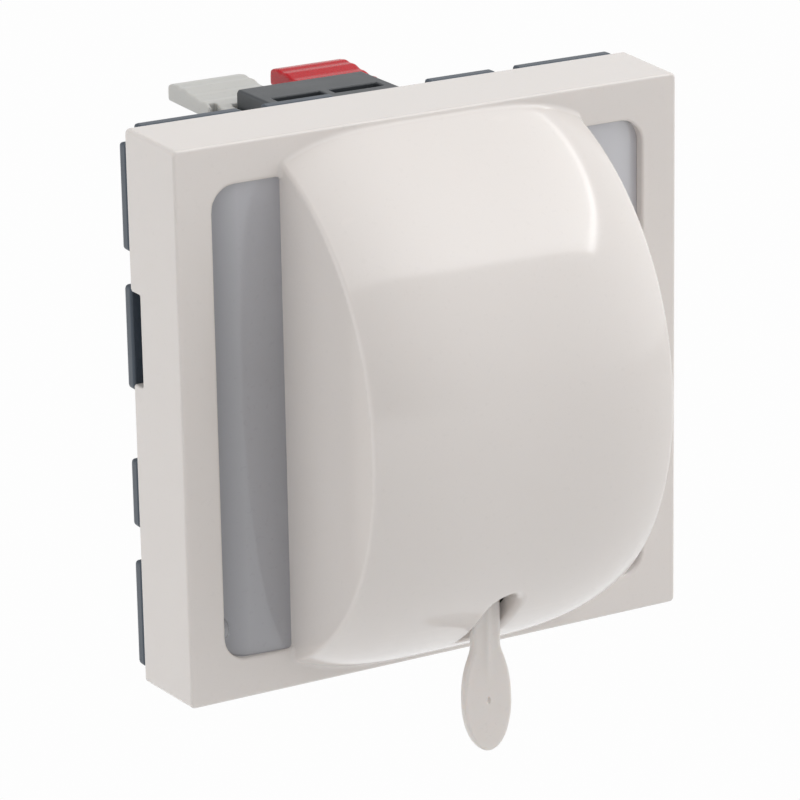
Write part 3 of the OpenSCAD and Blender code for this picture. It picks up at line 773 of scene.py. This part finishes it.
def terminal_field(x, y, z):
    """Hollow block on a snap leg, with a post for the lever pins and two slots in its roof."""
    wide = np.abs(x)
    body = round_and(outline(y, z, HOOD, 0.12), wide - HOOD_HALF, 0.22)
    body = cut(body, block(x, y, z, (-4.95, 2.15, 13.75), (4.95, 20, 19.55), 0.3))
    post = block(x, y, z, (-1.55, 10.4, 14.75), (1.55, 13.9, 19.95), 0.1)
    leg = np.minimum(block(x, y, z, (-1.2, 4, 12), (1.2, 8, 19.95)),
                     block(x, y, z, (-1.2, 7, 12), (1.2, 8.8, 12.9)))
    body = np.minimum(body, np.minimum(post, leg))
    body = cut(body, np.maximum(disc(y - PIN_Y, z - PIN_Z, 0.62), span(wide, 0.9, 10)))
    body = cut(body, block(x, y, z, (-2, 8.15, 12.85), (2, 9, 14.8), 0.02))
    lip = block(wide, y, z, (0.1, 8.1, 20.1), (5.1, 10, 20.36), 0.1)
    slot = block(wide, y, z, (0.4, 8.4, 18.35), (4.8, 9.7, 21.4), 0.1)
    return carve(np.minimum(body, lip), slot, 0.1)


moulded("terminal_hood", terminal_field, "terminal_cover", "base", terminal_grey, 0.35, 0.12,
        near_x=mirrored(5.6, 4.95, 4.8, 0.4, 1.4), near_y=bands(1.3, 2.15, 8.4, 9.7, 13.7),
        near_z=[(19.2, 20.6)] + bands(14.75, 12, 12.9))


# --- release levers and wire clamps ----------------------------------------

PADDLE = [(14.2, 18.0), (21.8, 18.12), (22.0, 18.35), (21.6, 19.4), (21.2, 19.56), (20.2, 19.66),
          (19.2, 19.6), (16.6, 19.15), (14.2, 19.0)]
TONGUE = [(11.3, 16.4), (13.9, 16.4), (14.3, 18), (14.3, 19), (12.2, 19), (11.3, 18.2)]
NOSE = [(12.8, 15.6), (13.6, 17.4), (15.7, 15), (15.7, 12), (15.4, 11.7), (14.9, 11.7), (14.7, 11.9),
        (14.6, 13.6)]
LEVER_MIDDLE = (4.725, 16.5)
LEVER_HALF = (3.325, 5.5)


def lever_field(x, y, z):
    """Right-hand lever: a ribbed finger paddle, its tongue on the pin and the nose below."""
    plan = rounded_rect(x - LEVER_MIDDLE[0], y - LEVER_MIDDLE[1], *LEVER_HALF, 0.7)
    ribs = 0.05 * np.cos((y - 16.2) * 3.6) * np.clip((21 - y) / 0.6, 0, 1) * np.clip((z - 18.7) / 0.3, 0, 1)
    paddle = round_and(outline(y, z, PADDLE, 0.2) + ribs, plan, 0.25)
    paddle = carve(paddle, block(x, y, z, (7.05, 12, 17), (7.7, 15, 20), 0.2), 0.1)
    wing = block(x, y, z, (5.95, 11, 18.1), (7.05, 14.6, 19), 0.2)
    tongue = np.minimum(disc(y - PIN_Y, z - PIN_Z, 1.3), outline(y, z, TONGUE, 0.1))
    tongue = round_and(tongue, span(x, 1.9, 4.7), 0.12)
    nose = round_and(outline(y, z, NOSE, 0.1), span(x, 2.2, 4.4), 0.12)
    solid = round_or(round_or(paddle, wing, 0.2), np.minimum(tongue, nose), 0.15)
    return cut(solid, disc(y - PIN_Y, z - PIN_Z, 0.64))


# Wire clamp: a leaf bent round a loop, whose upper leg the lever's nose pushes down.
LEAF_HALF = (1.5, 0.15)
LOOP_Y, LOOP_Z, LOOP_R = 18.2, 8.0, 0.9
FIXED_LEG_Z = LOOP_Z - LOOP_R
BEND = [(LOOP_Y + LOOP_R * math.cos(t), LOOP_Z + LOOP_R * math.sin(t))
        for t in np.linspace(-math.pi / 2, math.pi / 2, 13)]
CLAMP = [(14.2, FIXED_LEG_Z), *BEND, (14.2, 11.65), (13.9, 11.6)]


def clamp_field(x, y, z):
    """Right-hand wire clamp."""
    strip = np.maximum(polyline(y, z, CLAMP) - LEAF_HALF[1], 13.88 - y)
    return round_and(strip, span(x, WIRE[0] - LEAF_HALF[0], WIRE[0] + LEAF_HALF[0]), 0.1)


def across(field):
    """The same shape on the other side of the middle."""
    return lambda x, y, z: field(-x, y, z)


for name, lever_side, clamp_side, material in (
        ("white", across(lever_field), across(clamp_field), lever_white),
        ("red", lever_field, clamp_field, lever_red)):
    moulded("lever_" + name, lever_side, name + "_release_lever", name + "_lever", material, 0.22, 0.14,
            near_y=bands(21.9), near_z=[(17.9, 19.7)])
    leaf = moulded("clamp_" + name, clamp_side, name + "_clamp_spring", "base", spring_steel, 0.1, 0.07)
    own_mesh(leaf)


# --- coil springs ----------------------------------------------------------


OPEN_TURNS = 3
ALL_TURNS = OPEN_TURNS + 2
SECTIONS_PER_TURN = 44
SIDES = 12


def coil(name, node, body, radius, wire):
    """A round-wire spring along Y that fills its node's length, its end turns closed and ground."""
    start, end = (corner[1] for corner in cad_mm(node))
    steps, sides = SECTIONS_PER_TURN * ALL_TURNS, SIDES
    t = np.linspace(0, 1, steps + 1)
    closed = 1 / ALL_TURNS
    lift = np.interp(t, [0, closed, 1 - closed, 1], [0, 0.12, 0.88, 1])
    turn = 2 * math.pi * ALL_TURNS * t
    low, high = start + wire, end - wire
    around = np.linspace(0, 2 * math.pi, sides, endpoint=False)
    r = radius + wire * np.cos(around)[None, :]
    y = (low + (high - low) * lift)[:, None] + wire * np.sin(around)[None, :]
    y = np.clip(y, start + 0.3 * wire, end - 0.3 * wire)
    x, z = r * np.cos(turn)[:, None], r * np.sin(turn)[:, None] + PLUNGER_Z
    points = np.stack([x, y, z], -1).reshape(-1, 3)
    i, j = np.meshgrid(np.arange(steps), np.arange(sides), indexing="ij")
    k = (j + 1) % sides
    faces = np.stack([i * sides + j, i * sides + k, (i + 1) * sides + k, (i + 1) * sides + j], -1)
    ends = [np.arange(sides), steps * sides + np.arange(sides)]
    points = np.concatenate([points, [points[ring].mean(0) for ring in ends]])
    caps = []
    for tip, ring, order in ((len(points) - 2, ends[0], (0, 1, 2)), (len(points) - 1, ends[1], (2, 1, 0))):
        caps += [[tip, *(ring[(n + o) % sides] for o in order)] for n in range(0, sides, 2)]
    faces = np.concatenate([faces.reshape(-1, 4), np.array(caps)])
    return stand_for(mesh_object(name, points, faces), node, body, spring_steel)


def shorten(obj):
    """Gives a spring its own copy of its mesh; the spring keeps its full length."""
    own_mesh(obj)


shorten(coil("return_coil", "return_spring", "base", 1.9, 0.24))
shorten(coil("contact_coil", "contact_spring", "plunger", 1.36, 0.2))


# --- carried-over CAD nodes ------------------------------------------------


def dress(node, material, radius):
    """Gives a CAD node its material and small rounded edges."""
    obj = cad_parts[node]
    obj.data.materials.clear()
    obj.data.materials.append(material)
    weld = obj.modifiers.new("weld", "WELD")
    weld.merge_threshold = 0.002 * MM
    flat = obj.modifiers.new("flat", "DECIMATE")
    flat.decimate_type = "DISSOLVE"
    flat.angle_limit = math.radians(2)
    bevel = obj.modifiers.new("edges", "BEVEL")
    bevel.width = radius * MM
    bevel.segments = 2
    bevel.limit_method = "ANGLE"
    bevel.angle_limit = math.radians(35)
    bevel.harden_normals = True


for node, material, radius in (
        ("housing_screws", zinc, 0.06), ("lever_pins", zinc, 0.1), ("rocker_pin", zinc, 0.12),
        ("left_busbar", brass, 0.06), ("right_busbar", brass, 0.06),
        ("fixed_contacts", silver, 0.12), ("bridge_contacts", silver, 0.12),
        ("contact_bridge", bronze, 0.08), ("plunger", mechanism_white, 0.1),
        ("retaining_ring", spring_steel, 0.05), ("pull_rocker", mechanism_white, 0.12),
        ("circuit_board", solder_mask, 0.08), ("indicator_leds", led_epoxy, 0.08),
        ("board_resistors", chip_black, 0.08), ("board_leads", brass, 0.05)):
    dress(node, material, radius)


# --- stage, lights and camera ----------------------------------------------

# The photo's viewpoint, in millimetres.
CAMERA_AT = (-160.866, -287.682, 103.680)
CAMERA_TARGET = (-3.288, -8.7, -0.399)
CAMERA_ROLL = -0.0179
LENS = 194.7


def aim(obj, target, roll=0.0):
    """Turns a camera or light towards a target, and about its own axis by roll."""
    direction = Vector(target) - obj.location
    spin = direction.to_track_quat("-Z", "Y").to_matrix().to_4x4() @ Matrix.Rotation(roll, 4, "Z")
    obj.matrix_world = Matrix.Translation(obj.location) @ spin


camera_data = bpy.data.cameras.new("camera")
camera_data.lens = LENS
camera_data.sensor_width = 36
camera_data.clip_end = 50
camera = bpy.data.objects.new("camera", camera_data)
bpy.context.scene.collection.objects.link(camera)
camera.location = Vector(CAMERA_AT) * MM
aim(camera, Vector(CAMERA_TARGET) * MM, CAMERA_ROLL)
bpy.context.scene.camera = camera

# The floor looks like the backdrop to the camera and in reflections, and is a plain floor to light.
BACKDROP = 0.985
FLOOR_Z = -0.25
FLOOR_HALF = 12
floor_mesh = bpy.data.meshes.new("floor")
floor_mesh.from_pydata([(sx * FLOOR_HALF, sy * FLOOR_HALF, FLOOR_Z) for sx, sy in
                        ((-1, -1), (1, -1), (1, 1), (-1, 1))], [], [(0, 1, 2, 3)])
floor = bpy.data.objects.new("floor", floor_mesh)
bpy.context.scene.collection.objects.link(floor)
pale = Recipe("pale_floor")
pale.colour(pale.blend(pale.noise(3, 2), (0.93, 0.93, 0.93), (0.95, 0.95, 0.95)))
pale.set(Roughness=0.8)
pale_glow = pale.add("Emission", Color=(BACKDROP, BACKDROP, BACKDROP, 1))
pale_mix = pale.add("MixShader")
rays = pale.add("LightPath")
seen_or_mirrored = pale.add("Math", operation="MAXIMUM")
pale.join(rays.outputs["Is Camera Ray"], seen_or_mirrored.inputs[0])
pale.join(rays.outputs["Is Glossy Ray"], seen_or_mirrored.inputs[1])
pale.join(seen_or_mirrored.outputs[0], pale_mix.inputs[0])
pale.join(pale.shader.outputs[0], pale_mix.inputs[1])
pale.join(pale_glow.outputs[0], pale_mix.inputs[2])
pale.join(pale_mix.outputs[0], pale.out.inputs["Surface"])
floor_mesh.materials.append(pale.material)

# Large softbox overhead. Its mirror image on the gloss is lit apart from its glow.
LIGHT_HEIGHT = 0.5
SOFTBOX = (1.0, 0.93)
SOFTBOX_AT = (0.05, 0.035)
STRIP_WIDE = 0.05


def panel_light(name, place, size, radiance, seen_in_gloss, lower=0.0):
    """A rectangle of light that faces down. Panels at the same height would hide each other."""
    data = bpy.data.lights.new(name, "AREA")
    data.shape = "RECTANGLE"
    data.size, data.size_y = size
    data.energy = radiance * math.pi * size[0] * size[1]
    light = bpy.data.objects.new(name, data)
    bpy.context.scene.collection.objects.link(light)
    light.location = (*place, LIGHT_HEIGHT - lower)
    aim(light, (*place, 0))
    light.visible_glossy = seen_in_gloss
    light.visible_diffuse = not seen_in_gloss
    light.visible_camera = False
    return light


panel_light("softbox_glow", SOFTBOX_AT, SOFTBOX, 0.8, False)
mirror = panel_light("softbox_mirror", SOFTBOX_AT, SOFTBOX, 2.4, True, 0.001)
rim_light = panel_light("softbox_rim", (SOFTBOX_AT[0] + SOFTBOX[0] / 2 - 0.02, SOFTBOX_AT[1]),
                        (STRIP_WIDE, SOFTBOX[1]), 4.0, True, 0.002)


def fade(light, across, along):
    """Dims a panel towards its left and back edges, down to the two given shares."""
    light.data.use_nodes = True
    nodes, links = light.data.node_tree.nodes, light.data.node_tree.links
    split = nodes.new("ShaderNodeSeparateXYZ")
    links.new(nodes.new("ShaderNodeNewGeometry").outputs["Parametric"], split.inputs[0])
    shares = []
    for port, (low, high) in ((0, across), (1, along)):
        ramp = nodes.new("ShaderNodeMapRange")
        ramp.interpolation_type = "SMOOTHSTEP"
        ramp.inputs["To Min"].default_value, ramp.inputs["To Max"].default_value = low, high
        links.new(split.outputs[port], ramp.inputs["Value"])
        shares.append(ramp.outputs["Result"])
    product = nodes.new("ShaderNodeMath")
    product.operation = "MULTIPLY"
    links.new(shares[0], product.inputs[0])
    links.new(shares[1], product.inputs[1])
    links.new(product.outputs[0], nodes["Emission"].inputs["Strength"])


fade(mirror, (0.35, 1.0), (1.0, 0.25))
fade(rim_light, (1.0, 1.0), (1.0, 0.1))

# Soft walls of the studio: direction each one lies in and how bright it is.
WALLS = (((1, 0, 0), 1.1), ((0.7, 0.7, 0), 0.5), ((0, 1, 0), 0.36), ((-0.7, 0.7, 0), 0.5),
         ((-1, 0, 0), 1.36), ((0.7, -0.7, 0), 0.32), ((0.61, -0.61, 0.5), 0.95))
SOFTNESS = 3

world = bpy.data.worlds.new("studio")
world.use_nodes = True
world_nodes, world_links = world.node_tree.nodes, world.node_tree.links
background = world_nodes["Background"]
looking = world_nodes.new("ShaderNodeTexCoord").outputs["Generated"]


def world_math(operation, a, b):
    """Result of a sum on two numbers or sockets of the world's nodes."""
    node = world_nodes.new("ShaderNodeMath")
    node.operation = operation
    for value, port in ((a, node.inputs[0]), (b, node.inputs[1])):
        if isinstance(value, (int, float)):
            port.default_value = value
        else:
            world_links.new(value, port)
    return node.outputs[0]


glow = 0
for direction, strength in WALLS:
    facing = world_nodes.new("ShaderNodeVectorMath")
    facing.operation = "DOT_PRODUCT"
    facing.inputs[1].default_value = Vector(direction).normalized()
    world_links.new(looking, facing.inputs[0])
    lobe = world_math("POWER", world_math("MAXIMUM", facing.outputs["Value"], 0), SOFTNESS)
    glow = world_math("ADD", world_math("MULTIPLY", lobe, strength), glow)
seen = world_nodes.new("ShaderNodeLightPath").outputs["Is Camera Ray"]
glow = world_math("ADD", world_math("MULTIPLY", world_math("SUBTRACT", 1, seen), glow),
                  world_math("MULTIPLY", seen, BACKDROP))
world_links.new(glow, background.inputs["Strength"])
background.inputs["Color"].default_value = (1, 1, 1, 1)
bpy.context.scene.world = world
bpy.context.scene.view_settings.view_transform = "Standard"
